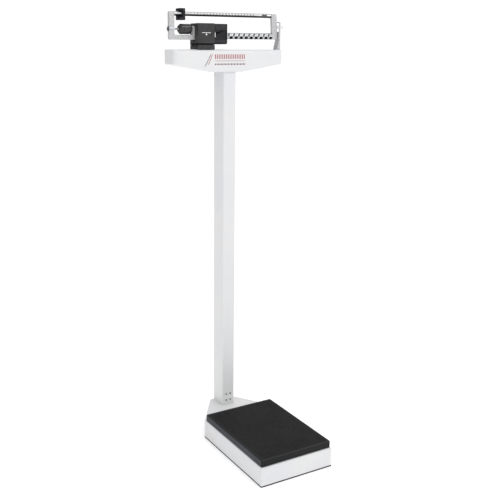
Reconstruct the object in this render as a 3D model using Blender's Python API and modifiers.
"""Physician beam scale, in metres.

The origin is on the floor, below the middle of the footprint. +Z is up, the platform is towards -Y,
the column is towards +Y, and the beam runs along X with its zero end at -X.
"""

import math

import bmesh
import bpy
from mathutils import Matrix, Vector

# ---- Clearances -------------------------------------------------------------------------------
TOUCH = 0.0003  # gap left between two faces that meet
RUNNING = 0.0004  # gap round a pin, a rod or a bar in its hole
SWING = 0.0028  # room left for the beam's small swing
KNIFE_GAP = 0.0003  # gap between a knife edge and its bearing
NOTCH_SLACK = 0.001  # how much deeper and wider a V bearing is than its knife
LINK_SLACK = 0.001  # side play of a link or a strap
WELD_GAP = 0.0006  # between the base's walls and what is welded inside them
THROUGH = 0.02  # length of a cutter that goes right through a sheet

# ---- Base and feet ----------------------------------------------------------------------------
FOOT_HEIGHT = 0.003
FOOT_RADIUS = 0.011
FOOT_CHAMFER = 0.0008
FOOT_INSET = 0.019  # foot centre from the base's side walls
BASE_WIDTH = 0.274
BASE_LENGTH = 0.370  # the rectangular part
BASE_HEIGHT = 0.063  # wall height above the feet
BASE_SHEET = 0.002
BASE_EDGE_RADIUS = 0.003
EXTENSION_LENGTH = 0.140  # the tapered part that carries the column
EXTENSION_REAR_WIDTH = 0.076
PLATFORM_LEDGE = 0.012  # rim left round the platform opening
CROSS_MEMBER_HEIGHT = 0.009
CROSS_MEMBER_LENGTH = 0.050  # along Y

# ---- Platform ---------------------------------------------------------------------------------
MAT_WIDTH = 0.270
MAT_LENGTH = 0.361
MAT_GAP = 0.001  # between the mat's hem and the base
MAT_HEIGHT = 0.0225
MAT_RUBBER = 0.003
MAT_CORNER_RADIUS = 0.005
MAT_EDGE_RADIUS = 0.0025
PAN_SHEET = 0.002
PAN_HEM = 0.0015  # how far the pan's flange stops above the mat's hem

# ---- Levers under the platform ----------------------------------------------------------------
LEVER_HALF_WIDTH = 0.084
LEVER_BAR = 0.014  # width of the arms in plan
LEVER_DEPTH = 0.014  # height of both lever castings
LONG_LEVER_RISE = 0.033  # above the base's lower edge
SHORT_LEVER_RISE = 0.015
LEVER_LOAD_ARM = 0.025  # fulcrum edge to load edge
FRONT_FULCRUM_INSET = 0.040  # from the base's front wall
REAR_FULCRUM_INSET = 0.040  # from the rear end of the rectangular part
LEVER_HEEL = 0.008  # what a lever has behind its last knife edge
LEVER_NOSE_WIDTH = 0.024  # where the two arms have joined
LEVER_TIP_WIDTH = 0.010
KNIFE_WIDTH = 0.007
KNIFE_DEPTH = 0.008
KNIFE_OVERHANG = 0.015  # how far the knife bars stand out past a lever's arms
BEARING_BLOCK = 0.012
NOTCH_DEPTH = 0.004
LINK_STRAP = 0.004
LINK_THICKNESS = 0.006

# ---- Column -----------------------------------------------------------------------------------
COLUMN_WIDTH = 0.048
COLUMN_DEPTH = 0.068
COLUMN_LENGTH = 1.2084
COLUMN_WALL = 0.0016
COLUMN_EDGE_RADIUS = 0.0025
COLUMN_SETBACK = 0.001  # column's rear face inside the base's rear face
BRACKET_HEIGHT = 0.065
BRACKET_WALL = 0.003
COLUMN_SCREW_SPACING_X = 0.017
COLUMN_SCREW_SPACING_Z = 0.0235
COLUMN_SCREW_RISE = 0.0185  # lowest screws above the base's top
SCREW_HEAD_RADIUS = 0.0028
SCREW_HEAD_HEIGHT = 0.0018
SCREW_SHANK_RADIUS = 0.0016
SCREW_SHANK_LENGTH = 0.008
SCREW_CROWN = ((0.55, 0.93), (0.9, 0.55))  # shares of the head's radius and height
TOP_PLUG_HEIGHT = 0.018

# ---- Shelf ------------------------------------------------------------------------------------
SHELF_WIDTH = 0.422
SHELF_DEPTH = 0.071
SHELF_END_HEIGHT = 0.048
SHELF_CENTRE_HEIGHT = 0.074
SHELF_FLAT_WIDTH = 0.090  # level stretch in the middle of the underside
SHELF_WALL = 0.003
SHELF_CORNER_RADIUS = 0.014
SHELF_EDGE_RADIUS = 0.0015
SHELF_SETBACK = 0.002  # shelf's rear face inside the column's rear face
BACK_COVER_SHEET = 0.002
BOSS_RADIUS = 0.0045
BOSS_INSET = 0.0175  # boss centre from the shelf's ends
ROD_HOLE_RADIUS = 0.013
SHELF_BOLT_X = 0.014
SHELF_BOLT_INSET = 0.016  # from the column's rear face
SHELF_BOLT_RADIUS = 0.003
SHELF_BOLT_HEAD = 0.004
SHELF_BOLT_HEAD_RADIUS = 0.0057  # to its corners
SHELF_BOLT_LENGTH = 0.018

# ---- Steelyard rod and the lever in the shelf --------------------------------------------------
ROD_RADIUS = 0.0025
ROD_EYE_RADIUS = 0.0115  # to the middle of the wire
ROD_EYE_WIRE = 0.002
SHELF_LEVER_THICKNESS = 0.006
SHELF_LEVER_DEPTH = 0.012
SHELF_LEVER_DROP = 0.033  # shelf top down to the lever's upper edge
SHELF_LEVER_FULCRUM_X = 0.171
SHELF_LEVER_OVERHANG = 0.010
SHELF_PIVOT_LENGTH = 0.022
HANGER_WIDTH = 0.018
HANGER_SPAN = 0.018  # outer width over both cheeks
HANGER_SHEET = 0.004
BEAM_LINK_WIDTH = 0.008  # along the beam
BEAM_LINK_FORK_WIDTH = 0.013
BEAM_LINK_STRAP = 0.0035
BEAM_LINK_RISE = 0.006  # fork's top above the load edge

# ---- Beam -------------------------------------------------------------------------------------
BEAM_Y = 0.213  # middle plane of the beam
BEAM_THICKNESS = 0.011
FULCRUM_X = -0.091
FULCRUM_RISE = 0.051  # above the shelf's top
BEAM_LOAD_ARM = 0.021  # fulcrum edge to the load edge, towards the zero end
BEAM_LEFT_REACH = 0.124  # fulcrum to the left end of the castings
BEAM_RIGHT_REACH = 0.2955  # fulcrum to the right end of the castings
MAIN_BAR_DEPTH = 0.0205
MAIN_BAR_OFFSET = 0.004  # bar's upper edge above the fulcrum
FRACTION_BAR_DEPTH = 0.0135
FRACTION_BAR_OFFSET = 0.069  # bar's upper edge above the fulcrum
BAR_THICKNESS = 0.009
BAR_CHAMFER = 0.003
END_UPRIGHT_WIDTH = 0.019
CASTING_FOOT_HEIGHT = 0.0155
CASTING_DROP = 0.020  # casting's lower edge below the fulcrum
SCREW_LEG_WIDTH = 0.0084
SCREW_LEG_X = -0.130
SCREW_LEG_RISE = 0.024  # top of the screw's inner leg above the fulcrum
WEB_RISE = 0.016
WEB_RIGHT_X = -0.070
RIGHT_CASTING_WIDTH = 0.021
RIGHT_CASTING_LEAN = 0.005  # how far its foot stands out past its head
CASTING_CORNER_RADIUS = 0.003
NOTCH_COUNT = 9
NOTCH_PITCH = 0.020
NOTCH_WIDTH = 0.012
NOTCH_HEIGHT = 0.009
NOTCH_RECESS = 0.003
FIRST_NOTCH_X = 0.012
PIVOT_BAR_LENGTH = 0.046
LOAD_PIVOT_LENGTH = 0.028
POINTER_TIP_X = 0.227
POINTER_ROOT_HEIGHT = 0.012
POINTER_TIP_HEIGHT = 0.009
POINTER_THICKNESS = 0.005
POINTER_RISE = 0.0246  # above the fulcrum

# ---- Balance screw ----------------------------------------------------------------------------
BALANCE_RISE = 0.014  # above the fulcrum
BALANCE_SCREW_RADIUS = 0.00318
BALANCE_SCREW_END = 0.0015  # how far it stands out past its inner leg
BALANCE_HEAD_RADIUS = 0.0046
BALANCE_HEAD_LENGTH = 0.0034
BALANCE_SLOT_WIDTH = 0.0012
BALANCE_SLOT_DEPTH = 0.0012
BALANCE_BOSS_RADIUS = 0.0068
BALANCE_BOSS_OUT = 0.003  # boss beyond the upright's outer face
BALANCE_BOSS_IN = 0.001
BALANCE_COUNTERBORE = 0.0052
BALANCE_COUNTERBORE_DEPTH = 0.003
BALANCE_WEIGHT_RADIUS = 0.0165
BALANCE_WEIGHT_LENGTH = 0.045
BALANCE_WEIGHT_CHAMFER = 0.0055
BALANCE_WEIGHT_X = -0.179  # its left end at rest

# ---- Poises -----------------------------------------------------------------------------------
MAIN_POISE_X = -0.0548  # left side at zero
MAIN_POISE_WIDTH = 0.049
MAIN_POISE_DEPTH = 0.038
MAIN_POISE_HEIGHT = 0.066
MAIN_POISE_DROP = 0.034  # lower edge below the fulcrum
MAIN_POISE_CHAMFER = 0.004
GRIP_RECESS = 0.003
GRIP_RIM = 0.003  # left at the sides of the recess
GRIP_LOW_RISE = 0.013  # recess's lower edge above the poise's lower edge
GRIP_LEFT_RISE = 0.038
GRIP_RIGHT_RISE = 0.045
SMALL_POISE_X = -0.181
SMALL_POISE_WIDTH = 0.020
SMALL_POISE_DEPTH = 0.030
SMALL_POISE_HEIGHT = 0.0372
SMALL_POISE_OFFSET = 0.079  # upper edge above the fulcrum
SMALL_POISE_EDGE = 0.0015
SMALL_POISE_WINDOW = 0.011
SMALL_POISE_WINDOW_LOW = 0.010  # window's lower edge above the poise's lower edge
SMALL_POISE_WINDOW_HEIGHT = 0.020
POISE_SLIDE_GAP = 0.0012

# ---- Fulcrum stand and cover ------------------------------------------------------------------
STAND_WIDTH = 0.024
STAND_CHEEK = 0.007
STAND_SPAN = 0.042  # outer width over both cheeks
STAND_FLOOR = 0.005
COVER_X = -0.122
COVER_WIDTH = 0.065
COVER_DEPTH = 0.056
COVER_HEIGHT = 0.084  # with its base
COVER_BASE_HEIGHT = 0.0135
COVER_GROOVE = 0.0014
COVER_FRONT_OFFSET = 0.027  # beam's middle plane to the cover's front
COVER_WALL = 0.0025
COVER_EDGE_RADIUS = 0.0025
COVER_RIM_RADIUS = 0.002  # round the cover's upper edges
COVER_LIP_RADIUS = 0.0006
COVER_LIP_HEIGHT = 0.005
COVER_LIP_WALL = 0.0015

# ---- Trig loop --------------------------------------------------------------------------------
LOOP_RIGHT_X = 0.2115
LOOP_THICKNESS = 0.0055
LOOP_FOOT_THICKNESS = 0.0125
LOOP_DEPTH = 0.026
LOOP_WALL = 0.003
LOOP_HEIGHT = 0.0933
LOOP_CORNER_RADIUS = 0.004
LOOP_SILL_HEIGHT = 0.0602
LOOP_TAPER_LOW = 0.003  # where the post starts and stops narrowing
LOOP_TAPER_HIGH = 0.030

# ---- Places worked out from the sizes above ----------------------------------------------------
FRONT_Y = -(BASE_LENGTH + EXTENSION_LENGTH) / 2
RECT_REAR_Y = FRONT_Y + BASE_LENGTH
REAR_Y = RECT_REAR_Y + EXTENSION_LENGTH
BASE_TOP_Z = FOOT_HEIGHT + BASE_HEIGHT
BASE_FLOOR_Z = FOOT_HEIGHT + TOUCH
CROSS_TOP_Z = BASE_FLOOR_Z + CROSS_MEMBER_HEIGHT
FRONT_FULCRUM_Y = FRONT_Y + FRONT_FULCRUM_INSET
REAR_FULCRUM_Y = RECT_REAR_Y - REAR_FULCRUM_INSET
LEVERS_MEET_Y = (FRONT_FULCRUM_Y + REAR_FULCRUM_Y) / 2
LONG_LEVER_Z = FOOT_HEIGHT + LONG_LEVER_RISE
SHORT_LEVER_Z = FOOT_HEIGHT + SHORT_LEVER_RISE
BEARING_X = LEVER_HALF_WIDTH + KNIFE_OVERHANG / 2

MAT_BOTTOM_Z = BASE_TOP_Z + MAT_GAP
PLATFORM_TOP_Z = MAT_BOTTOM_Z + MAT_HEIGHT
PLATFORM_Y = FRONT_Y + BASE_LENGTH / 2
PAN_TOP_Z = PLATFORM_TOP_Z - MAT_RUBBER - TOUCH
PAN_UNDER_Z = PAN_TOP_Z - PAN_SHEET

COLUMN_REAR_Y = REAR_Y - COLUMN_SETBACK
COLUMN_FRONT_Y = COLUMN_REAR_Y - COLUMN_DEPTH
COLUMN_BOTTOM_Z = BASE_TOP_Z + TOUCH
COLUMN_TOP_Z = COLUMN_BOTTOM_Z + COLUMN_LENGTH
SHELF_BOLT_Y = COLUMN_REAR_Y - SHELF_BOLT_INSET

SHELF_BOTTOM_Z = COLUMN_TOP_Z + TOUCH
SHELF_TOP_Z = SHELF_BOTTOM_Z + SHELF_CENTRE_HEIGHT
SHELF_REAR_Y = COLUMN_REAR_Y - SHELF_SETBACK
SHELF_FRONT_Y = SHELF_REAR_Y - SHELF_DEPTH
SHELF_LEVER_TOP_Z = SHELF_TOP_Z - SHELF_LEVER_DROP
SHELF_LEVER_Z = SHELF_LEVER_TOP_Z - SHELF_LEVER_DEPTH / 2

FULCRUM_Z = SHELF_TOP_Z + FULCRUM_RISE
LOAD_X = FULCRUM_X - BEAM_LOAD_ARM
BEAM_LEFT_X = FULCRUM_X - BEAM_LEFT_REACH
BEAM_RIGHT_X = FULCRUM_X + BEAM_RIGHT_REACH
CASTING_BOTTOM_Z = FULCRUM_Z - CASTING_DROP
BEAM_TOP_Z = FULCRUM_Z + FRACTION_BAR_OFFSET
MAIN_BAR_TOP_Z = FULCRUM_Z + MAIN_BAR_OFFSET
BALANCE_Z = FULCRUM_Z + BALANCE_RISE
COVER_TOP_Z = SHELF_TOP_Z + COVER_HEIGHT
SMALL_POISE_TOP_Z = FULCRUM_Z + SMALL_POISE_OFFSET
BALANCE_BOSS_X = BEAM_LEFT_X - BALANCE_BOSS_OUT
LOOP_SCREW_PLACE = (LOOP_RIGHT_X - LOOP_FOOT_THICKNESS / 2, BEAM_Y)

# Which way a flat outline is extruded: its two coordinates are X Y, X Z or Y Z.
FACING = {
    "Z": Matrix.Identity(4),
    "Y": Matrix(((1, 0, 0, 0), (0, 0, -1, 0), (0, 1, 0, 0), (0, 0, 0, 1))),
    "X": Matrix(((0, 0, 1, 0), (1, 0, 0, 0), (0, 1, 0, 0), (0, 0, 0, 1))),
}
ALONG = {"X": Vector((1, 0, 0)), "Y": Vector((0, 1, 0)), "Z": Vector((0, 0, 1))}


# ---- Scene helpers -----------------------------------------------------------------------------
def clear_scene():
    for obj in list(bpy.data.objects):
        bpy.data.objects.remove(obj)


def new_collection(name):
    collection = bpy.data.collections.new(name)
    bpy.context.scene.collection.children.link(collection)
    return collection


def new_material(name, colour, roughness, metallic=0.0):
    material = bpy.data.materials.new(name)
    material.use_nodes = True
    shader = material.node_tree.nodes["Principled BSDF"]
    shader.inputs["Base Color"].default_value = (*colour, 1.0)
    shader.inputs["Roughness"].default_value = roughness
    shader.inputs["Metallic"].default_value = metallic
    return material


clear_scene()
PARTS = new_collection("physician_beam_scale")
CUTTERS = new_collection("cutters")
WHITE_PAINT = ("white_paint", (0.78, 0.79, 0.80), 0.35, 0.0)
BLACK_RUBBER = ("black_rubber", (0.03, 0.03, 0.032), 0.75, 0.0)
BLACK_PAINT = ("black_paint", (0.035, 0.035, 0.04), 0.5, 0.0)
CAST_SILVER = ("cast_silver", (0.62, 0.62, 0.63), 0.45, 0.8)
BEAM_METAL = ("beam_metal", (0.7, 0.71, 0.73), 0.3, 0.9)
STEEL = ("steel", (0.55, 0.55, 0.57), 0.35, 1.0)
CAST_IRON = ("cast_iron", (0.12, 0.13, 0.14), 0.6, 0.5)
DARK_SCREW = ("dark_screw", (0.08, 0.08, 0.085), 0.4, 0.8)


def add_object(name, mesh, finish=None):
    """Puts a mesh in the model, or among the cutters where no finish is given."""
    obj = bpy.data.objects.new(name, mesh)
    if finish is None:
        CUTTERS.objects.link(obj)
        obj.hide_render = True
        obj.display_type = "WIRE"
        return obj
    PARTS.objects.link(obj)
    slot, colour, roughness, metallic = finish
    mesh.materials.clear()
    mesh.materials.append(new_material(f"{name}_{slot}", colour, roughness, metallic))
    return obj


def origin_at(obj, point):
    """Moves an object's origin to a point and leaves its shape in place."""
    point = Vector(point)
    obj.data.transform(Matrix.Translation(obj.location - point))
    obj.location = point


def centred(obj):
    corners = [Vector(corner) for corner in obj.bound_box]
    origin_at(obj, obj.location + sum(corners, Vector()) / len(corners))
    return obj


def mesh_from(bm, name):
    mesh = bpy.data.meshes.new(name)
    bm.to_mesh(mesh)
    bm.free()
    return mesh


def box(name, low, high, finish=None):
    """A block between two corners."""
    bm = bmesh.new()
    bmesh.ops.create_cube(bm, size=1.0)
    low, high = Vector(low), Vector(high)
    bmesh.ops.scale(bm, vec=high - low, verts=bm.verts)
    obj = add_object(name, mesh_from(bm, name), finish)
    obj.location = (low + high) / 2
    return obj


def rod(name, centre, axis, radius, length, sides=16, finish=None):
    """A round bar, centred on a point, along one axis."""
    bm = bmesh.new()
    bmesh.ops.create_cone(
        bm, cap_ends=True, segments=sides, radius1=radius, radius2=radius, depth=length
    )
    turn = Vector((0, 0, 1)).rotation_difference(ALONG[axis]).to_matrix()
    bmesh.ops.rotate(bm, matrix=turn, verts=bm.verts)
    obj = add_object(name, mesh_from(bm, name), finish)
    obj.location = centre
    if finish:
        smooth(obj)
    return obj


def extruded(name, outlines, axis, near, far, finish=None):
    """Flat outlines, the first outside and the rest windows in it, extruded between two stations."""
    curve = bpy.data.curves.new(name, "CURVE")
    curve.dimensions = "2D"
    curve.fill_mode = "BOTH"
    curve.extrude = (far - near) / 2
    for outline in outlines:
        spline = curve.splines.new("POLY")
        spline.points.add(len(outline) - 1)
        for point, (first, second) in zip(spline.points, outline):
            point.co = (first, second, 0, 1)
        spline.use_cyclic_u = True
    drawn = bpy.data.objects.new(name, curve)
    CUTTERS.objects.link(drawn)
    drawn.matrix_world = Matrix.Translation(ALONG[axis] * (near + far) / 2) @ FACING[axis]
    obj = add_object(name, mesh_of(drawn), finish)
    return centred(obj)


def mesh_of(drawn):
    """The mesh of a drawn curve in world space, welded, with its flat caps as single faces."""
    bpy.context.view_layer.update()
    graph = bpy.context.evaluated_depsgraph_get()
    mesh = bpy.data.meshes.new_from_object(drawn.evaluated_get(graph))
    mesh.transform(drawn.matrix_world)
    bpy.data.objects.remove(drawn)
    bm = bmesh.new()
    bm.from_mesh(mesh)
    bmesh.ops.remove_doubles(bm, verts=bm.verts, dist=1e-6)
    bmesh.ops.dissolve_limit(bm, angle_limit=0.01, verts=bm.verts, edges=bm.edges)
    bmesh.ops.recalc_face_normals(bm, faces=bm.faces)
    bm.to_mesh(mesh)
    bm.free()
    return mesh


def turned(name, profile, centre, axis, finish=None, steps=24):
    """A shape turned round an axis, from (radius, height) points that run top to bottom outside."""
    mesh = bpy.data.meshes.new(name)
    points = [(radius, 0.0, height) for radius, height in profile]
    mesh.from_pydata(points, [(i, i + 1) for i in range(len(points) - 1)], [])
    obj = add_object(name, mesh, finish)
    screw = obj.modifiers.new("turn", "SCREW")
    screw.steps = screw.render_steps = steps
    screw.use_merge_vertices = True
    screw.merge_threshold = 0.00001
    obj.rotation_mode = "QUATERNION"
    obj.rotation_quaternion = Vector((0, 0, 1)).rotation_difference(Vector(axis))
    obj.location = centre
    return obj


def smooth(obj, angle=40):
    obj.data.shade_smooth()
    obj.data.set_sharp_from_angle(angle=math.radians(angle))
    return obj


def rounded(obj, radius, segments=2, angle=50):
    """Rounds the edges of an object that are sharper than an angle."""
    bevel = obj.modifiers.new("rounded_edges", "BEVEL")
    bevel.width = radius
    bevel.segments = segments
    bevel.limit_method = "ANGLE"
    bevel.angle_limit = math.radians(angle)
    return obj


def thickened(obj, wall):
    """Gives an open surface its wall, on the inside."""
    solidify = obj.modifiers.new("wall", "SOLIDIFY")
    solidify.thickness = wall
    solidify.offset = -1
    solidify.use_even_offset = True
    return obj


def without_faces(obj, *directions):
    """Opens a solid by removing the flat faces that look in the given directions."""
    bm = bmesh.new()
    bm.from_mesh(obj.data)
    bm.normal_update()
    lost = [f for f in bm.faces if any(f.normal.dot(Vector(d)) > 0.999 for d in directions)]
    bmesh.ops.delete(bm, geom=lost, context="FACES")
    bm.to_mesh(obj.data)
    bm.free()
    return obj


def boolean(obj, other, operation):
    modifier = obj.modifiers.new(operation.lower(), "BOOLEAN")
    modifier.operation = operation
    modifier.solver = "EXACT"
    modifier.object = other
    return obj


def cut(obj, *cutters):
    for cutter in cutters:
        boolean(obj, cutter, "DIFFERENCE")
    return obj


def joined(obj, *others):
    for other in others:
        boolean(obj, other, "UNION")
    return obj


def pivot(name, point, parent=None):
    """An empty on a joint's axis, which the moving pieces hang from."""
    empty = bpy.data.objects.new(name, None)
    PARTS.objects.link(empty)
    empty.empty_display_size = 0.02
    empty.location = point
    return hang(empty, parent) if parent else empty


def hang(obj, parent):
    """Parents an object and leaves it in place. No parent here is turned or scaled."""
    above = parent
    while above:
        obj.location = Vector(obj.location) - Vector(above.location)
        above = above.parent
    obj.parent = parent
    return obj


# ---- Outlines ----------------------------------------------------------------------------------
def rectangle(left, low, right, high):
    return [(left, low), (right, low), (right, high), (left, high)]


def inset(outline, distance):
    """An outline that runs anticlockwise, drawn in by a distance along every side."""
    count = len(outline)
    sides = []
    for i in range(count):
        start, end = Vector(outline[i]), Vector(outline[(i + 1) % count])
        run = (end - start).normalized()
        sides.append((start + Vector((-run.y, run.x)) * distance, run))
    corners = []
    for i in range(count):
        (here, along), (before, came) = sides[i], sides[i - 1]
        across = came.x * along.y - came.y * along.x
        gap = here - before
        step = (gap.x * along.y - gap.y * along.x) / across
        corners.append(tuple(before + came * step))
    return corners


def base_outline(drawn_in=0.0):
    half, rear_half = BASE_WIDTH / 2, EXTENSION_REAR_WIDTH / 2
    outline = [
        (-half, FRONT_Y),
        (half, FRONT_Y),
        (half, RECT_REAR_Y),
        (rear_half, REAR_Y),
        (-rear_half, REAR_Y),
        (-half, RECT_REAR_Y),
    ]
    return inset(outline, drawn_in) if drawn_in else outline


def shelf_outline(drawn_in=0.0):
    half, flat = SHELF_WIDTH / 2, SHELF_FLAT_WIDTH / 2
    end_z = SHELF_TOP_Z - SHELF_END_HEIGHT
    outline = [
        (-half, end_z),
        (-flat, SHELF_BOTTOM_Z),
        (flat, SHELF_BOTTOM_Z),
        (half, end_z),
        (half, SHELF_TOP_Z),
        (-half, SHELF_TOP_Z),
    ]
    return inset(outline, drawn_in) if drawn_in else outline


def rounded_rectangle(left, low, right, high, radius, steps=4):
    """A rectangle whose corners are arcs."""
    corners = [
        (right - radius, low + radius, -90),
        (right - radius, high - radius, 0),
        (left + radius, high - radius, 90),
        (left + radius, low + radius, 180),
    ]
    outline = []
    for x, y, start in corners:
        for step in range(steps + 1):
            angle = math.radians(start + 90 * step / steps)
            outline.append((x + radius * math.cos(angle), y + radius * math.sin(angle)))
    return outline


def circle(x, y, radius, sides=24):
    turns = [2 * math.pi * i / sides for i in range(sides)]
    return [(x + radius * math.cos(turn), y + radius * math.sin(turn)) for turn in turns]


def wedge(other, edge, depth, half, points_up):
    """A triangle with its point at a height, anticlockwise."""
    if points_up:
        return [(other, edge), (other - half, edge - depth), (other + half, edge - depth)]
    return [(other, edge), (other + half, edge + depth), (other - half, edge + depth)]


def knife(other, edge, points_up):
    """A knife bar's section."""
    return wedge(other, edge, KNIFE_DEPTH, KNIFE_WIDTH / 2, points_up)


def notch(other, edge, points_up):
    """The wider V that a knife edge rocks in."""
    apex = edge + (KNIFE_GAP if points_up else -KNIFE_GAP)
    return wedge(other, apex, KNIFE_DEPTH + NOTCH_SLACK, KNIFE_WIDTH / 2 + NOTCH_SLACK, points_up)


def lever_outline(fulcrum_y, meet, tip, sign):
    """A forked lever in plan. Distances run from the fulcrum towards the tip."""
    half, nose, point = LEVER_HALF_WIDTH, LEVER_NOSE_WIDTH / 2, LEVER_TIP_WIDTH / 2
    fork, heel, arm = half - LEVER_BAR, LEVER_HEEL, LEVER_LOAD_ARM + LEVER_HEEL
    shoulder = arm + heel / 2
    right = [(fork, arm), (fork, -heel), (half, -heel), (half, shoulder), (nose, meet), (point, tip)]
    left = [(-x, s) for x, s in reversed(right)]
    outline = [(x, fulcrum_y + sign * s) for x, s in right + left]
    web = arm + LEVER_BAR
    spread = (half - nose) * (meet - web) / (meet - shoulder) + nose - LEVER_BAR
    window = [(-spread, web), (spread, web), (nose / 2, meet - LEVER_BAR), (-nose / 2, meet - LEVER_BAR)]
    return [outline, [(x, fulcrum_y + sign * s) for x, s in window]]


# ---- Base --------------------------------------------------------------------------------------
def make_base():
    housing = extruded("base_housing", [base_outline()], "Z", FOOT_HEIGHT, BASE_TOP_Z, WHITE_PAINT)
    without_faces(housing, (0, 0, -1))
    rounded(housing, BASE_EDGE_RADIUS, segments=3)
    thickened(housing, BASE_SHEET)
    half = BASE_WIDTH / 2 - PLATFORM_LEDGE
    platform_opening = box(
        "platform_opening",
        (-half, FRONT_Y + PLATFORM_LEDGE, BASE_TOP_Z - 2 * BASE_SHEET),
        (half, RECT_REAR_Y - PLATFORM_LEDGE, BASE_TOP_Z + BASE_SHEET),
    )
    rod_opening = rod("base_rod_opening", (0, BEAM_Y, BASE_TOP_Z), "Z", ROD_HOLE_RADIUS, 4 * BASE_SHEET)
    cut(housing, platform_opening, rod_opening)


def make_foot(name, x, y):
    radius, edge = FOOT_RADIUS, FOOT_CHAMFER
    profile = [
        (0, FOOT_HEIGHT),
        (radius - edge, FOOT_HEIGHT),
        (radius, FOOT_HEIGHT - edge),
        (radius, edge),
        (radius - edge, 0),
        (0, 0),
    ]
    turned(name, profile, (x, y, 0), (0, 0, 1), BLACK_RUBBER, steps=20)


def make_feet():
    x = BASE_WIDTH / 2 - FOOT_INSET
    for side, sign in (("left", -1), ("right", 1)):
        make_foot(f"foot_front_{side}", sign * x, FRONT_Y + FOOT_INSET)
        make_foot(f"foot_rear_{side}", sign * x, RECT_REAR_Y - FOOT_INSET)
    make_foot("foot_column", 0, REAR_Y - FOOT_INSET)


def make_cross_members():
    half = BASE_WIDTH / 2 - BASE_SHEET - WELD_GAP
    front = FRONT_Y + BASE_SHEET + WELD_GAP
    rear = RECT_REAR_Y - BASE_SHEET - WELD_GAP
    spans = {
        "front_cross_member": (front, front + CROSS_MEMBER_LENGTH),
        "rear_cross_member": (rear - CROSS_MEMBER_LENGTH, rear),
    }
    for name, (near, far) in spans.items():
        box(name, (-half, near, BASE_FLOOR_Z), (half, far, CROSS_TOP_Z), CAST_IRON)


def knife_z(lever_z, points_up):
    """Height of the edge of a knife bar that passes through the middle of a lever."""
    middle = lever_z + LEVER_DEPTH / 2
    return middle + KNIFE_DEPTH / 2 if points_up else middle - KNIFE_DEPTH / 2


def make_lever_stands():
    """The four V bearings that the two platform levers rock on."""
    half = BEARING_BLOCK / 2
    for end, y, lever_z in (
        ("front", FRONT_FULCRUM_Y, LONG_LEVER_Z),
        ("rear", REAR_FULCRUM_Y, SHORT_LEVER_Z),
    ):
        edge = knife_z(lever_z, points_up=False)
        for side, x in (("left", -BEARING_X), ("right", BEARING_X)):
            name = f"lever_stand_{end}_{side}"
            stand = box(
                name,
                (x - half, y - half, CROSS_TOP_Z + TOUCH),
                (x + half, y + half, edge + NOTCH_DEPTH),
                CAST_IRON,
            )
            section = notch(y, edge, points_up=False)
            cut(stand, extruded(f"{name}_notch", [section], "X", x - 2 * half, x + 2 * half))


def make_column_support():
    """The channel inside the base that carries the column down to its foot."""
    half, wall = COLUMN_WIDTH / 2, BRACKET_WALL
    rear = REAR_Y - BASE_SHEET - WELD_GAP
    top = BASE_TOP_Z - BASE_SHEET - TOUCH
    channel = [
        (-half, COLUMN_FRONT_Y),
        (-half + wall, COLUMN_FRONT_Y),
        (-half + wall, rear - wall),
        (half - wall, rear - wall),
        (half - wall, COLUMN_FRONT_Y),
        (half, COLUMN_FRONT_Y),
        (half, rear),
        (-half, rear),
    ]
    support = extruded("column_support", [channel], "Z", BASE_FLOOR_Z, top, CAST_IRON)
    floor = box(
        "column_support_floor",
        (-half + wall / 2, COLUMN_FRONT_Y + wall, BASE_FLOOR_Z),
        (half - wall / 2, rear - wall / 2, BASE_FLOOR_Z + wall),
    )
    joined(support, floor)


# ---- Platform ----------------------------------------------------------------------------------
def platform_plan(drawn_in, radius):
    half_x, half_y = MAT_WIDTH / 2 - drawn_in, MAT_LENGTH / 2 - drawn_in
    return rounded_rectangle(-half_x, PLATFORM_Y - half_y, half_x, PLATFORM_Y + half_y, radius)


def make_platform():
    mat = extruded(
        "platform_mat",
        [platform_plan(0, MAT_CORNER_RADIUS)],
        "Z",
        MAT_BOTTOM_Z,
        PLATFORM_TOP_Z,
        BLACK_RUBBER,
    )
    without_faces(mat, (0, 0, -1))
    rounded(mat, MAT_EDGE_RADIUS, segments=2, angle=60)
    thickened(mat, MAT_RUBBER)
    pan = extruded(
        "platform_pan",
        [platform_plan(MAT_RUBBER + RUNNING, MAT_CORNER_RADIUS)],
        "Z",
        MAT_BOTTOM_Z + PAN_HEM,
        PAN_TOP_Z,
        WHITE_PAINT,
    )
    without_faces(pan, (0, 0, -1))
    thickened(pan, PAN_SHEET)
    for part in (mat, pan):
        hang(part, PLATFORM_AXIS)


def make_platform_bearings():
    """The four posts under the platform that stand on the levers' load edges."""
    half = BEARING_BLOCK / 2
    for end, y, lever_z in (
        ("front", FRONT_FULCRUM_Y + LEVER_LOAD_ARM, LONG_LEVER_Z),
        ("rear", REAR_FULCRUM_Y - LEVER_LOAD_ARM, SHORT_LEVER_Z),
    ):
        edge = knife_z(lever_z, points_up=True)
        for side, x in (("left", -BEARING_X), ("right", BEARING_X)):
            name = f"platform_bearing_{end}_{side}"
            post = box(
                name,
                (x - half, y - half, edge - NOTCH_DEPTH),
                (x + half, y + half, PAN_UNDER_Z - TOUCH),
                CAST_IRON,
            )
            section = notch(y, edge, points_up=True)
            cut(post, extruded(f"{name}_notch", [section], "X", x - 2 * half, x + 2 * half))
            hang(post, PLATFORM_AXIS)


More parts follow.
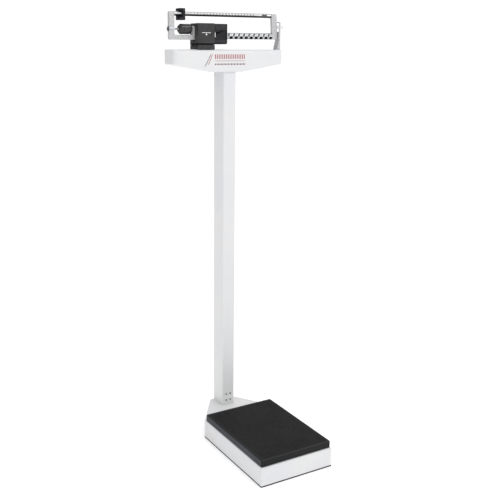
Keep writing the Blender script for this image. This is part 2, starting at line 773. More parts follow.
# ---- Levers under the platform -----------------------------------------------------------------
def make_platform_lever(name, fulcrum_y, lever_z, meet, tip, sign, axis_empty):
    """A forked lever with a fulcrum edge that points down and a load edge that points up."""
    outlines = lever_outline(fulcrum_y, meet, tip, sign)
    lever = extruded(name, outlines, "Z", lever_z, lever_z + LEVER_DEPTH, CAST_IRON)
    reach = LEVER_HALF_WIDTH + KNIFE_OVERHANG
    for role, y, points_up in (
        ("fulcrum", fulcrum_y, False),
        ("load", fulcrum_y + sign * LEVER_LOAD_ARM, True),
    ):
        section = knife(y, knife_z(lever_z, points_up), points_up)
        hole = extruded(f"{name}_{role}_hole", [inset(section, -RUNNING)], "X", -reach, reach)
        bar = extruded(f"{name}_{role}_pivot", [section], "X", -reach, reach, STEEL)
        cut(lever, hole)
        hang(bar, axis_empty)
    hang(lever, axis_empty)


def make_platform_levers():
    meet = abs(LEVERS_MEET_Y - FRONT_FULCRUM_Y)
    make_platform_lever(
        "long_lever",
        FRONT_FULCRUM_Y,
        LONG_LEVER_Z,
        meet - LEVER_BAR,
        BEAM_Y - FRONT_FULCRUM_Y + LEVER_HEEL,
        1,
        LONG_LEVER_AXIS,
    )
    make_platform_lever(
        "short_lever",
        REAR_FULCRUM_Y,
        SHORT_LEVER_Z,
        meet - 2 * LEVER_BAR,
        meet + LEVER_HEEL,
        -1,
        SHORT_LEVER_AXIS,
    )


def make_lever_link():
    """The stirrup that hangs the short lever's tip from the long lever."""
    half = LEVER_NOSE_WIDTH / 2 + LINK_SLACK
    low, high = SHORT_LEVER_Z - TOUCH, LONG_LEVER_Z + LEVER_DEPTH + TOUCH
    outer = rectangle(-half - LINK_STRAP, low - LINK_STRAP, half + LINK_STRAP, high + LINK_STRAP)
    link = extruded(
        "lever_link",
        [outer, rectangle(-half, low, half, high)],
        "Y",
        LEVERS_MEET_Y - LINK_THICKNESS / 2,
        LEVERS_MEET_Y + LINK_THICKNESS / 2,
        STEEL,
    )
    hang(link, LEVER_LINK_AXIS)


# ---- Column ------------------------------------------------------------------------------------
def column_plan(drawn_in, radius):
    half = COLUMN_WIDTH / 2 - drawn_in
    return rounded_rectangle(
        -half, COLUMN_FRONT_Y + drawn_in, half, COLUMN_REAR_Y - drawn_in, radius
    )


def column_screw_places():
    for row in (0, 1):
        for side in (-1, 1):
            z = BASE_TOP_Z + COLUMN_SCREW_RISE + row * COLUMN_SCREW_SPACING_Z
            yield side * COLUMN_SCREW_SPACING_X / 2, z


def make_column():
    plan = [column_plan(0, COLUMN_EDGE_RADIUS), column_plan(COLUMN_WALL, COLUMN_EDGE_RADIUS / 2)]
    column = extruded("column", plan, "Z", COLUMN_BOTTOM_Z, COLUMN_TOP_Z, WHITE_PAINT)
    fit = COLUMN_WALL + RUNNING
    plan = [column_plan(fit, COLUMN_EDGE_RADIUS / 2)]
    inner = column_plan(fit + BRACKET_WALL, COLUMN_EDGE_RADIUS / 2)
    bracket = extruded(
        "column_bracket",
        plan + [inner],
        "Z",
        COLUMN_BOTTOM_Z,
        COLUMN_BOTTOM_Z + BRACKET_HEIGHT,
        CAST_IRON,
    )
    for number, (x, z) in enumerate(column_screw_places(), start=1):
        place = (x, COLUMN_FRONT_Y, z)
        length = 2 * SCREW_SHANK_LENGTH
        hole = rod(f"column_hole_{number}", place, "Y", SCREW_SHANK_RADIUS + RUNNING, length, sides=12)
        cut(column, hole)
        cut(bracket, hole)
        make_screw(f"column_screw_{number}", (x, COLUMN_FRONT_Y - TOUCH, z), (0, -1, 0))
    plug = extruded(
        "column_top_plug",
        plan + [circle(0, BEAM_Y, ROD_HOLE_RADIUS)],
        "Z",
        COLUMN_TOP_Z - TOP_PLUG_HEIGHT,
        COLUMN_TOP_Z,
        CAST_IRON,
    )
    for side, x in (("left", -SHELF_BOLT_X), ("right", SHELF_BOLT_X)):
        place = (x, SHELF_BOLT_Y, COLUMN_TOP_Z)
        cut(plug, rod(f"plug_hole_{side}", place, "Z", SHELF_BOLT_RADIUS + RUNNING, 3 * TOP_PLUG_HEIGHT, sides=12))


def make_screw(name, place, axis, shank=SCREW_SHANK_LENGTH, head=SCREW_HEAD_RADIUS):
    """A round-headed screw, placed by the seat under its head, whose head looks along the axis."""
    rise = SCREW_HEAD_HEIGHT
    crown = [(head * across, rise * up) for across, up in SCREW_CROWN]
    stem = [(head, 0), (SCREW_SHANK_RADIUS, 0), (SCREW_SHANK_RADIUS, -shank), (0, -shank)]
    profile = [(0, rise), *crown, *stem]
    return smooth(turned(name, profile, place, axis, DARK_SCREW, steps=14))


# ---- Shelf -------------------------------------------------------------------------------------
def keystone(name, drawn_in, near, far, radius, finish=None):
    """The shelf's shape between two stations, its front corners rounded in plan."""
    solid = extruded(name, [shelf_outline(drawn_in)], "Y", near, far, finish)
    half, front = SHELF_WIDTH / 2 - drawn_in, near - solid.location.y
    bm = bmesh.new()
    bm.from_mesh(solid.data)
    corners = [
        edge
        for edge in bm.edges
        if all(
            abs(abs(vert.co.x) - half) < 1e-5 and abs(vert.co.y - front) < 1e-5
            for vert in edge.verts
        )
    ]
    bmesh.ops.bevel(
        bm, geom=corners, offset=radius, segments=6, profile=0.5, affect="EDGES"
    )
    bm.to_mesh(solid.data)
    bm.free()
    return solid


def back_cover_screw_places():
    z = SHELF_TOP_Z - SHELF_END_HEIGHT / 2
    x = SHELF_WIDTH / 2 - BOSS_INSET
    return {"left": (-x, z), "right": (x, z)}


def make_shelf():
    rear = SHELF_REAR_Y - BACK_COVER_SHEET - TOUCH
    shelf = keystone("beam_shelf", 0, SHELF_FRONT_Y, rear, SHELF_CORNER_RADIUS, WHITE_PAINT)
    rounded(shelf, SHELF_EDGE_RADIUS, segments=2, angle=50)
    inner_front = SHELF_FRONT_Y + SHELF_WALL
    cavity = keystone(
        "shelf_cavity",
        SHELF_WALL,
        inner_front,
        SHELF_REAR_Y + SHELF_WALL,
        SHELF_CORNER_RADIUS - SHELF_WALL,
    )
    cut(shelf, cavity)
    cover = extruded(
        "shelf_back_cover",
        [shelf_outline()],
        "Y",
        SHELF_REAR_Y - BACK_COVER_SHEET,
        SHELF_REAR_Y,
        WHITE_PAINT,
    )
    for side, (x, z) in back_cover_screw_places().items():
        length = rear - inner_front + SHELF_WALL / 2
        middle = (inner_front - SHELF_WALL / 2 + rear) / 2
        joined(shelf, rod(f"shelf_boss_{side}", (x, middle, z), "Y", BOSS_RADIUS, length))
        hole = rod(
            f"boss_hole_{side}",
            (x, SHELF_REAR_Y, z),
            "Y",
            SCREW_SHANK_RADIUS + RUNNING,
            2 * SCREW_SHANK_LENGTH + THROUGH / 10,
            sides=12,
        )
        cut(shelf, hole)
        cut(cover, hole)
        make_screw(f"back_cover_screw_{side}", (x, SHELF_REAR_Y + TOUCH, z), (0, 1, 0))
    column_hole = rod("shelf_rod_hole", (0, BEAM_Y, SHELF_BOTTOM_Z), "Z", ROD_HOLE_RADIUS, THROUGH, sides=24)
    half_x = BEAM_LINK_WIDTH / 2 + LINK_SLACK
    half_y = beam_link_loop_half() + LINK_SLACK
    link_slot = box(
        "shelf_link_slot",
        (LOAD_X - half_x, BEAM_Y - half_y, SHELF_TOP_Z - 2 * SHELF_WALL),
        (LOAD_X + half_x, BEAM_Y + half_y, SHELF_TOP_Z + SHELF_WALL),
    )
    cut(shelf, column_hole, link_slot)
    floor = SHELF_BOTTOM_Z + SHELF_WALL + TOUCH
    for side, x in (("left", -SHELF_BOLT_X), ("right", SHELF_BOLT_X)):
        place = (x, SHELF_BOLT_Y, floor)
        cut(shelf, rod(f"shelf_bolt_hole_{side}", place, "Z", SHELF_BOLT_RADIUS + RUNNING, THROUGH, sides=12))
        make_bolt(f"shelf_bolt_{side}", place)
    place = (*LOOP_SCREW_PLACE, SHELF_TOP_Z)
    cut(shelf, rod("shelf_loop_hole", place, "Z", SCREW_SHANK_RADIUS + RUNNING, THROUGH, sides=12))


def make_bolt(name, place):
    """A hexagon bolt that holds the shelf down on the column."""
    head = rod(
        name,
        Vector(place) + Vector((0, 0, SHELF_BOLT_HEAD / 2)),
        "Z",
        SHELF_BOLT_HEAD_RADIUS,
        SHELF_BOLT_HEAD,
        sides=6,
        finish=STEEL,
    )
    top = SHELF_BOLT_HEAD / 2
    middle = Vector(place) + Vector((0, 0, (top - SHELF_BOLT_LENGTH) / 2))
    shank = rod(f"{name}_shank", middle, "Z", SHELF_BOLT_RADIUS, SHELF_BOLT_LENGTH + top, sides=12)
    joined(head, shank)


def make_hanger():
    """The bracket under the shelf's top whose V windows carry the shelf lever's fulcrum edge."""
    x, half_x = SHELF_LEVER_FULCRUM_X, HANGER_WIDTH / 2
    outer, sheet = HANGER_SPAN / 2, HANGER_SHEET
    edge = shelf_knife_z()
    top, bottom = SHELF_TOP_Z - SHELF_WALL - TOUCH, edge - HANGER_SHEET
    outline = [
        (BEAM_Y - outer, bottom),
        (BEAM_Y - outer + sheet, bottom),
        (BEAM_Y - outer + sheet, top - sheet),
        (BEAM_Y + outer - sheet, top - sheet),
        (BEAM_Y + outer - sheet, bottom),
        (BEAM_Y + outer, bottom),
        (BEAM_Y + outer, top),
        (BEAM_Y - outer, top),
    ]
    hanger = extruded("shelf_lever_hanger", [outline], "X", x - half_x, x + half_x, CAST_IRON)
    window = notch(x, edge, points_up=False)
    cut(hanger, extruded("hanger_window", [window], "Y", BEAM_Y - 2 * outer, BEAM_Y + 2 * outer))


# ---- Lever in the shelf, rod and beam link -----------------------------------------------------
def shelf_knife_z():
    """Height of the downward edge that the shelf lever rocks on."""
    return SHELF_LEVER_Z - KNIFE_DEPTH / 2


def make_shelf_lever():
    x, half = SHELF_LEVER_FULCRUM_X, SHELF_LEVER_THICKNESS / 2
    lever = box(
        "shelf_lever",
        (LOAD_X - SHELF_LEVER_OVERHANG / 2, BEAM_Y - half, SHELF_LEVER_TOP_Z - SHELF_LEVER_DEPTH),
        (x + SHELF_LEVER_OVERHANG, BEAM_Y + half, SHELF_LEVER_TOP_Z),
        STEEL,
    )
    section = knife(x, shelf_knife_z(), points_up=False)
    near, far = BEAM_Y - SHELF_PIVOT_LENGTH / 2, BEAM_Y + SHELF_PIVOT_LENGTH / 2
    cut(lever, extruded("shelf_lever_hole", [inset(section, -RUNNING)], "Y", near, far))
    bar = extruded("shelf_lever_pivot", [section], "Y", near, far, STEEL)
    for part in (lever, bar):
        hang(part, SHELF_LEVER_AXIS)


def ring(name, centre, axis):
    """A wire ring that faces along an axis, to be joined to the rod."""
    bpy.ops.mesh.primitive_torus_add(
        major_radius=ROD_EYE_RADIUS,
        minor_radius=ROD_EYE_WIRE,
        major_segments=24,
        minor_segments=8,
    )
    torus = bpy.context.object
    mesh = torus.data
    bpy.data.objects.remove(torus)
    turn = Vector((0, 0, 1)).rotation_difference(ALONG[axis]).to_matrix()
    mesh.transform(turn.to_4x4())
    obj = add_object(name, mesh)
    obj.location = centre
    return smooth(obj)


def eye_reach(half_width):
    """From an eye's centre to a flat bar of this half width that bears on its inside."""
    inner = ROD_EYE_RADIUS - ROD_EYE_WIRE
    return math.sqrt(inner**2 - half_width**2) - TOUCH


def make_steelyard_rod():
    """The rod inside the column, with an eye round the long lever's tip and one over the shelf lever."""
    low = LONG_LEVER_Z + eye_reach(LEVER_TIP_WIDTH / 2)
    high = SHELF_LEVER_TOP_Z - eye_reach(SHELF_LEVER_THICKNESS / 2)
    bottom, top = low + ROD_EYE_RADIUS, high - ROD_EYE_RADIUS
    steelyard = rod(
        "steelyard_rod", (0, BEAM_Y, (bottom + top) / 2), "Z", ROD_RADIUS, top - bottom, 16, STEEL
    )
    joined(
        steelyard,
        ring("rod_lower_eye", (0, BEAM_Y, low), "Y"),
        ring("rod_upper_eye", (0, BEAM_Y, high), "X"),
    )
    hang(steelyard, ROD_AXIS)


def beam_link_loop_half():
    return SHELF_LEVER_THICKNESS / 2 + LINK_SLACK + BEAM_LINK_STRAP


def make_beam_link():
    """The link that hangs from the beam's load edge and lifts the shelf lever."""
    tine_in = BEAM_THICKNESS / 2 + LINK_SLACK
    tine_out = tine_in + BEAM_LINK_STRAP
    fork_in = CASTING_BOTTOM_Z - SWING
    fork_low = fork_in - BEAM_LINK_STRAP
    top = FULCRUM_Z + BEAM_LINK_RISE
    fork = [
        (BEAM_Y - tine_out, fork_low),
        (BEAM_Y + tine_out, fork_low),
        (BEAM_Y + tine_out, top),
        (BEAM_Y + tine_in, top),
        (BEAM_Y + tine_in, fork_in),
        (BEAM_Y - tine_in, fork_in),
        (BEAM_Y - tine_in, top),
        (BEAM_Y - tine_out, top),
    ]
    half = BEAM_LINK_FORK_WIDTH / 2
    link = extruded("beam_link", [fork], "X", LOAD_X - half, LOAD_X + half, STEEL)
    loop_in, loop_out = SHELF_LEVER_THICKNESS / 2 + LINK_SLACK, beam_link_loop_half()
    low = SHELF_LEVER_TOP_Z - SHELF_LEVER_DEPTH - TOUCH
    high = SHELF_LEVER_TOP_Z + LINK_SLACK
    half = BEAM_LINK_WIDTH / 2
    loop = extruded(
        "beam_link_loop",
        [
            rectangle(BEAM_Y - loop_out, low - BEAM_LINK_STRAP, BEAM_Y + loop_out, high + BEAM_LINK_STRAP),
            rectangle(BEAM_Y - loop_in, low, BEAM_Y + loop_in, high),
        ],
        "X",
        LOAD_X - half,
        LOAD_X + half,
    )
    stem = box(
        "beam_link_stem",
        (LOAD_X - half, BEAM_Y - half, high + BEAM_LINK_STRAP / 2),
        (LOAD_X + half, BEAM_Y + half, fork_low + BEAM_LINK_STRAP / 2),
    )
    joined(link, stem, loop)
    window = notch(LOAD_X, FULCRUM_Z, points_up=True)
    cut(link, extruded("beam_link_window", [window], "Y", BEAM_Y - 2 * tine_out, BEAM_Y + 2 * tine_out))
    hang(link, BEAM_LINK_AXIS)


# ---- Fulcrum stand and cover -------------------------------------------------------------------
def make_fulcrum_stand():
    half_x, outer = STAND_WIDTH / 2, STAND_SPAN / 2
    bottom, top = SHELF_TOP_Z + TOUCH, FULCRUM_Z + NOTCH_DEPTH
    outline = [
        (BEAM_Y - outer, bottom),
        (BEAM_Y + outer, bottom),
        (BEAM_Y + outer, top),
        (BEAM_Y + outer - STAND_CHEEK, top),
        (BEAM_Y + outer - STAND_CHEEK, bottom + STAND_FLOOR),
        (BEAM_Y - outer + STAND_CHEEK, bottom + STAND_FLOOR),
        (BEAM_Y - outer + STAND_CHEEK, top),
        (BEAM_Y - outer, top),
    ]
    near, far = FULCRUM_X - half_x, FULCRUM_X + half_x
    stand = extruded("beam_fulcrum_stand", [outline], "X", near, far, CAST_IRON)
    section = notch(FULCRUM_X, FULCRUM_Z, points_up=False)
    cut(stand, extruded("stand_notch", [section], "Y", BEAM_Y - 2 * outer, BEAM_Y + 2 * outer))


def cover_plan(drawn_in, radius):
    front = BEAM_Y - COVER_FRONT_OFFSET
    return rounded_rectangle(
        COVER_X + drawn_in,
        front + drawn_in,
        COVER_X + COVER_WIDTH - drawn_in,
        front + COVER_DEPTH - drawn_in,
        radius,
        steps=3,
    )


def make_fulcrum_cover():
    """The cover over the fulcrum, and the ring under it that it stands on."""
    low = SHELF_TOP_Z + TOUCH
    split = low + COVER_BASE_HEIGHT
    lip = COVER_WALL + RUNNING
    hollow = cover_plan(lip + COVER_LIP_WALL, COVER_LIP_RADIUS)
    base = extruded(
        "fulcrum_cover_base",
        [cover_plan(0, COVER_EDGE_RADIUS), hollow],
        "Z",
        low,
        split,
        BLACK_PAINT,
    )
    ring_lip = extruded(
        "cover_lip",
        [cover_plan(lip, COVER_LIP_RADIUS), hollow],
        "Z",
        split - COVER_LIP_WALL,
        split + COVER_GROOVE + COVER_LIP_HEIGHT,
    )
    joined(base, ring_lip)
    cover = extruded(
        "fulcrum_cover",
        [cover_plan(0, COVER_EDGE_RADIUS)],
        "Z",
        split + COVER_GROOVE,
        COVER_TOP_Z,
        BLACK_PAINT,
    )
    without_faces(cover, (0, 0, -1))
    rounded(cover, COVER_RIM_RADIUS, segments=2, angle=60)
    thickened(cover, COVER_WALL)
    half = BEAM_THICKNESS / 2 + LINK_SLACK + RUNNING
    left_opening = box(
        "cover_left_opening",
        (COVER_X - COVER_WALL, BEAM_Y - half, CASTING_BOTTOM_Z - SWING),
        (COVER_X + 2 * COVER_WALL, BEAM_Y + half, FULCRUM_Z + SCREW_LEG_RISE + SWING),
    )
    right = COVER_X + COVER_WIDTH
    right_opening = box(
        "cover_right_opening",
        (right - 2 * COVER_WALL, BEAM_Y - half, MAIN_BAR_TOP_Z - MAIN_BAR_DEPTH - SWING),
        (right + COVER_WALL, BEAM_Y + half, MAIN_BAR_TOP_Z + SWING),
    )
    cut(cover, left_opening, right_opening)


# ---- Trig loop ---------------------------------------------------------------------------------
def arched(left, low, right, high, radius, steps=4):
    """A rectangle whose two upper corners are arcs."""
    rounded_corners = rounded_rectangle(left, low, right, high, radius, steps)
    upper = rounded_corners[steps + 1 : 3 * (steps + 1)]
    return [(left, low), (right, low)] + upper


def make_trig_loop():
    """The post whose window limits the swing of the beam's pointer."""
    front, rear = BEAM_Y - LOOP_DEPTH / 2, BEAM_Y + LOOP_DEPTH / 2
    low = SHELF_TOP_Z + TOUCH
    top, sill = low + LOOP_HEIGHT, low + LOOP_SILL_HEIGHT
    foot_x, post_x = LOOP_RIGHT_X - LOOP_FOOT_THICKNESS, LOOP_RIGHT_X - LOOP_THICKNESS
    loop = extruded(
        "trig_loop",
        [
            arched(front, low, rear, top, LOOP_CORNER_RADIUS),
            rounded_rectangle(
                front + LOOP_WALL,
                sill,
                rear - LOOP_WALL,
                top - LOOP_WALL,
                LOOP_CORNER_RADIUS - LOOP_WALL / 2,
            ),
        ],
        "X",
        foot_x,
        LOOP_RIGHT_X,
        CAST_SILVER,
    )
    beyond = foot_x - LOOP_THICKNESS
    taper = [
        (foot_x, low + LOOP_TAPER_LOW),
        (post_x, low + LOOP_TAPER_HIGH),
        (post_x, top + LOOP_WALL),
        (beyond, top + LOOP_WALL),
        (beyond, low + LOOP_TAPER_LOW),
    ]
    cut(loop, extruded("trig_loop_taper", [taper], "Y", front - LOOP_WALL, rear + LOOP_WALL))
    head_z = SHELF_TOP_Z - SHELF_WALL - TOUCH
    length = 2 * (SCREW_SHANK_LENGTH - SHELF_WALL) + TOUCH
    hole = rod("trig_loop_hole", (*LOOP_SCREW_PLACE, low), "Z", SCREW_SHANK_RADIUS + RUNNING, length, 12)
    cut(loop, hole)
    make_screw("trig_loop_screw", (*LOOP_SCREW_PLACE, head_z), (0, 0, -1))


# ---- Beam --------------------------------------------------------------------------------------
def casting_outline():
    """The left casting: upright, foot, screw leg and the web that runs through the cover."""
    left, right = BEAM_LEFT_X, WEB_RIGHT_X
    foot_z = CASTING_BOTTOM_Z + CASTING_FOOT_HEIGHT
    inner = left + END_UPRIGHT_WIDTH
    leg_right = SCREW_LEG_X + SCREW_LEG_WIDTH
    r = CASTING_CORNER_RADIUS
    return [
        (left + r, CASTING_BOTTOM_Z),
        (right, CASTING_BOTTOM_Z),
        (right, FULCRUM_Z + WEB_RISE),
        (leg_right, FULCRUM_Z + WEB_RISE),
        (leg_right, FULCRUM_Z + SCREW_LEG_RISE),
        (SCREW_LEG_X, FULCRUM_Z + SCREW_LEG_RISE),
        (SCREW_LEG_X, foot_z),
        (inner + r, foot_z),
        (inner, foot_z + r),
        (inner, BEAM_TOP_Z),
        (left + r, BEAM_TOP_Z),
        (left, BEAM_TOP_Z - r),
        (left, CASTING_BOTTOM_Z + r),
    ]


def make_left_casting():
    near, far = BEAM_Y - BEAM_THICKNESS / 2, BEAM_Y + BEAM_THICKNESS / 2
    casting = extruded("beam_left_casting", [casting_outline()], "Y", near, far, CAST_SILVER)
    boss_end = BEAM_LEFT_X + END_UPRIGHT_WIDTH + BALANCE_BOSS_IN
    middle, length = (BALANCE_BOSS_X + boss_end) / 2, boss_end - BALANCE_BOSS_X
    boss = rod("balance_boss", (middle, BEAM_Y, BALANCE_Z), "X", BALANCE_BOSS_RADIUS, length, 20)
    joined(casting, boss)
    end = SCREW_LEG_X + SCREW_LEG_WIDTH + BEAM_THICKNESS
    place = ((BALANCE_BOSS_X + end) / 2, BEAM_Y, BALANCE_Z)
    bore = rod("balance_bore", place, "X", BALANCE_SCREW_RADIUS + RUNNING, end - BALANCE_BOSS_X + RUNNING)
    counterbore = rod(
        "balance_counterbore",
        (BALANCE_BOSS_X, BEAM_Y, BALANCE_Z),
        "X",
        BALANCE_COUNTERBORE,
        2 * BALANCE_COUNTERBORE_DEPTH,
        sides=20,
    )
    cut(casting, bore, counterbore)
    for role, x, points_up, length in (
        ("fulcrum", FULCRUM_X, False, PIVOT_BAR_LENGTH),
        ("load", LOAD_X, True, LOAD_PIVOT_LENGTH),
    ):
        section = knife(x, FULCRUM_Z, points_up)
        near, far = BEAM_Y - length / 2, BEAM_Y + length / 2
        cut(casting, extruded(f"beam_{role}_hole", [inset(section, -RUNNING)], "Y", near, far))
        bar = extruded(f"beam_{role}_pivot", [section], "Y", near, far, STEEL)
        hang(bar, BEAM_AXIS)
    hang(casting, BEAM_AXIS)


def right_casting_x(z):
    """Left face of the leaning right casting at a height."""
    low, high = MAIN_BAR_TOP_Z - MAIN_BAR_DEPTH, BEAM_TOP_Z
    left = BEAM_RIGHT_X - RIGHT_CASTING_WIDTH
    return left - RIGHT_CASTING_LEAN * (z - low) / (high - low)


def make_right_casting():
    low, high, width = MAIN_BAR_TOP_Z - MAIN_BAR_DEPTH, BEAM_TOP_Z, RIGHT_CASTING_WIDTH
    r = CASTING_CORNER_RADIUS
    outline = [
        (right_casting_x(low), low),
        (right_casting_x(low) + width - r, low),
        (right_casting_x(low + r) + width, low + r),
        (right_casting_x(high - r) + width, high - r),
        (right_casting_x(high) + width - r, high),
        (right_casting_x(high), high),
    ]
    near, far = BEAM_Y - BEAM_THICKNESS / 2, BEAM_Y + BEAM_THICKNESS / 2
    casting = extruded("beam_right_casting", [outline], "Y", near, far, CAST_SILVER)
    hang(casting, BEAM_AXIS)
    middle = FULCRUM_Z + POINTER_RISE
    root, tip = POINTER_ROOT_HEIGHT / 2, POINTER_TIP_HEIGHT / 2
    root_x = right_casting_x(middle - root) + width + TOUCH
    blade = [
        (root_x, middle - root),
        (POINTER_TIP_X, middle - tip),
        (POINTER_TIP_X, middle + tip),
        (root_x, middle + root),
    ]
    near, far = BEAM_Y - POINTER_THICKNESS / 2, BEAM_Y + POINTER_THICKNESS / 2
    hang(extruded("beam_pointer", [blade], "Y", near, far, BEAM_METAL), BEAM_AXIS)


def bar_section(top, depth):
    """A bar whose two front edges are chamfered."""
    front, rear = BEAM_Y - BAR_THICKNESS / 2, BEAM_Y + BAR_THICKNESS / 2
    low = top - depth
    return [
        (front + BAR_CHAMFER, low),
        (rear, low),
        (rear, top),
        (front + BAR_CHAMFER, top),
        (front, top - BAR_CHAMFER),
        (front, low + BAR_CHAMFER),
    ]


def make_bars():
    top, depth = MAIN_BAR_TOP_Z, MAIN_BAR_DEPTH
    main = extruded(
        "main_beam_bar",
        [bar_section(top, depth)],
        "X",
        WEB_RIGHT_X + TOUCH,
        right_casting_x(top) - TOUCH,
        BEAM_METAL,
    )
    front, low = BEAM_Y - BAR_THICKNESS / 2, top - depth
    for number in range(NOTCH_COUNT):
        left = FIRST_NOTCH_X + number * NOTCH_PITCH
        recess = box(
            f"main_bar_notch_{number}",
            (left, front - NOTCH_RECESS, low - NOTCH_RECESS),
            (left + NOTCH_WIDTH, front + NOTCH_RECESS, low + NOTCH_HEIGHT),
        )
        cut(main, recess)
    hang(main, BEAM_AXIS)
    fraction = extruded(
        "fractional_beam_bar",
        [bar_section(BEAM_TOP_Z, FRACTION_BAR_DEPTH)],
        "X",
        BEAM_LEFT_X + END_UPRIGHT_WIDTH + TOUCH,
        right_casting_x(BEAM_TOP_Z) - TOUCH,
        BEAM_METAL,
    )
    hang(fraction, BEAM_AXIS)


def make_balance_screw():
    head_x = BALANCE_BOSS_X + BALANCE_COUNTERBORE_DEPTH - TOUCH - BALANCE_HEAD_LENGTH
    end = SCREW_LEG_X + SCREW_LEG_WIDTH + BALANCE_SCREW_END
    length = end - head_x - BALANCE_HEAD_LENGTH / 2
    place = (end - length / 2, BEAM_Y, BALANCE_Z)
    screw = rod("balance_screw", place, "X", BALANCE_SCREW_RADIUS, length, 16, STEEL)
    place = (head_x + BALANCE_HEAD_LENGTH / 2, BEAM_Y, BALANCE_Z)
    head = rod("balance_screw_head", place, "X", BALANCE_HEAD_RADIUS, BALANCE_HEAD_LENGTH, 20)
    reach, half = 2 * BALANCE_HEAD_RADIUS, BALANCE_SLOT_WIDTH / 2
    slot = box(
        "balance_screw_slot",
        (head_x - BALANCE_SLOT_DEPTH, BEAM_Y - half, BALANCE_Z - reach),
        (head_x + BALANCE_SLOT_DEPTH, BEAM_Y + half, BALANCE_Z + reach),
    )
    joined(screw, head)
    cut(screw, slot)
    hang(screw, BALANCE_AXIS)


def make_balance_weight():
    half, radius, chamfer = BALANCE_WEIGHT_LENGTH / 2, BALANCE_WEIGHT_RADIUS, BALANCE_WEIGHT_CHAMFER
    profile = [
        (0, half),
        (radius - chamfer, half),
        (radius, half - chamfer),
        (radius, chamfer - half),
        (radius - chamfer, -half),
        (0, -half),
    ]
    place = (BALANCE_WEIGHT_X + half, BEAM_Y, BALANCE_Z)
    weight = turned("balance_weight", profile, place, (1, 0, 0), BLACK_PAINT, steps=28)
    smooth(weight)
    bore = rod("balance_weight_bore", place, "X", BALANCE_SCREW_RADIUS + RUNNING, 3 * half)
    cut(weight, bore)
    hang(weight, BALANCE_WEIGHT_AXIS)


# ---- Poises ------------------------------------------------------------------------------------
def bar_slot(name, left, right, top, depth):
    """A cutter for the slot in which a poise slides along a bar."""
    half = BAR_THICKNESS / 2 + POISE_SLIDE_GAP / 2
    return box(
        name,
        (left - half, BEAM_Y - half, top - depth - POISE_SLIDE_GAP),
        (right + half, BEAM_Y + half, top + POISE_SLIDE_GAP / 2),
    )


def make_main_poise():
    left, right = MAIN_POISE_X, MAIN_POISE_X + MAIN_POISE_WIDTH
    front, rear = BEAM_Y - MAIN_POISE_DEPTH / 2, BEAM_Y + MAIN_POISE_DEPTH / 2
    low = FULCRUM_Z - MAIN_POISE_DROP
    high = low + MAIN_POISE_HEIGHT
    chamfer = MAIN_POISE_CHAMFER
    section = [
        (front + chamfer, low),
        (rear - chamfer, low),
        (rear, low + chamfer),
        (rear, high - chamfer),
        (rear - chamfer, high),
        (front + chamfer / 2, high),
        (front, high - chamfer / 2),
        (front, low + chamfer),
    ]
    poise = extruded("main_poise", [section], "X", left, right, BLACK_PAINT)
    grip = [
        (left + GRIP_RIM, low + GRIP_LOW_RISE),
        (right - GRIP_RIM, low + GRIP_LOW_RISE),
        (right - GRIP_RIM, low + GRIP_RIGHT_RISE),
        (left + GRIP_RIM, low + GRIP_LEFT_RISE),
    ]
    recess = extruded("main_poise_grip", [grip], "Y", front - GRIP_RECESS, front + GRIP_RECESS)
    cut(poise, bar_slot("main_poise_slot", left, right, MAIN_BAR_TOP_Z, MAIN_BAR_DEPTH), recess)
    hang(poise, MAIN_POISE_AXIS)


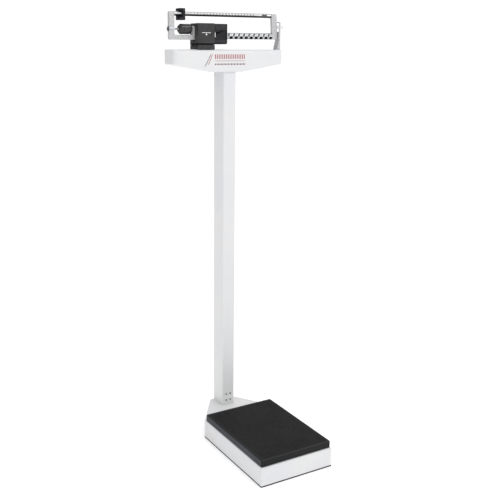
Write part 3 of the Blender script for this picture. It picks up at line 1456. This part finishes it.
def make_small_poise():
    left, right = SMALL_POISE_X, SMALL_POISE_X + SMALL_POISE_WIDTH
    front, rear = BEAM_Y - SMALL_POISE_DEPTH / 2, BEAM_Y + SMALL_POISE_DEPTH / 2
    low = SMALL_POISE_TOP_Z - SMALL_POISE_HEIGHT
    outline = inset(rectangle(front, low, rear, SMALL_POISE_TOP_Z), SMALL_POISE_EDGE)
    section = []
    for i, corner in enumerate(outline):
        edge = SMALL_POISE_EDGE
        y, z = corner
        out_y, out_z = math.copysign(edge, y - BEAM_Y), (-edge if i < 2 else edge)
        pair = [(y + out_y, z), (y, z + out_z)]
        section += pair if i in (0, 2) else pair[::-1]
    poise = extruded("small_poise", [section], "X", left, right, BLACK_PAINT)
    window_low = low + SMALL_POISE_WINDOW_LOW
    window = box(
        "small_poise_window",
        (left - SMALL_POISE_WINDOW, front - SMALL_POISE_WINDOW, window_low),
        (left + SMALL_POISE_WINDOW, BEAM_Y, window_low + SMALL_POISE_WINDOW_HEIGHT),
    )
    cut(poise, bar_slot("small_poise_slot", left, right, BEAM_TOP_Z, FRACTION_BAR_DEPTH), window)
    hang(poise, SMALL_POISE_AXIS)


# ---- The axes that the moving pieces hang from -------------------------------------------------
PLATFORM_AXIS = pivot("platform_axis", (0, PLATFORM_Y, PLATFORM_TOP_Z))
LONG_LEVER_AXIS = pivot("long_lever_axis", (0, FRONT_FULCRUM_Y, knife_z(LONG_LEVER_Z, False)))
SHORT_LEVER_AXIS = pivot("short_lever_axis", (0, REAR_FULCRUM_Y, knife_z(SHORT_LEVER_Z, False)))
LEVER_LINK_AXIS = pivot("lever_link_axis", (0, LEVERS_MEET_Y, LONG_LEVER_Z))
ROD_AXIS = pivot("steelyard_rod_axis", (0, BEAM_Y, COLUMN_BOTTOM_Z))
SHELF_LEVER_AXIS = pivot("shelf_lever_axis", (SHELF_LEVER_FULCRUM_X, BEAM_Y, shelf_knife_z()))
BEAM_LINK_AXIS = pivot("beam_link_axis", (LOAD_X, BEAM_Y, FULCRUM_Z))
BEAM_AXIS = pivot("beam_axis", (FULCRUM_X, BEAM_Y, FULCRUM_Z))
BALANCE_AXIS = pivot("balance_screw_axis", (BALANCE_BOSS_X, BEAM_Y, BALANCE_Z), BEAM_AXIS)
BALANCE_WEIGHT_AXIS = pivot("balance_weight_axis", (BALANCE_WEIGHT_X, BEAM_Y, BALANCE_Z), BEAM_AXIS)
MAIN_POISE_AXIS = pivot("main_poise_axis", (MAIN_POISE_X, BEAM_Y, MAIN_BAR_TOP_Z), BEAM_AXIS)
SMALL_POISE_AXIS = pivot("small_poise_axis", (SMALL_POISE_X, BEAM_Y, BEAM_TOP_Z), BEAM_AXIS)

make_base()
make_feet()
make_cross_members()
make_lever_stands()
make_column_support()
make_platform()
make_platform_bearings()
make_platform_levers()
make_lever_link()
make_column()
make_shelf()
make_hanger()
make_shelf_lever()
make_steelyard_rod()
make_beam_link()
make_fulcrum_stand()
make_fulcrum_cover()
make_trig_loop()
make_left_casting()
make_right_casting()
make_bars()
make_balance_screw()
make_balance_weight()
make_main_poise()
make_small_poise()
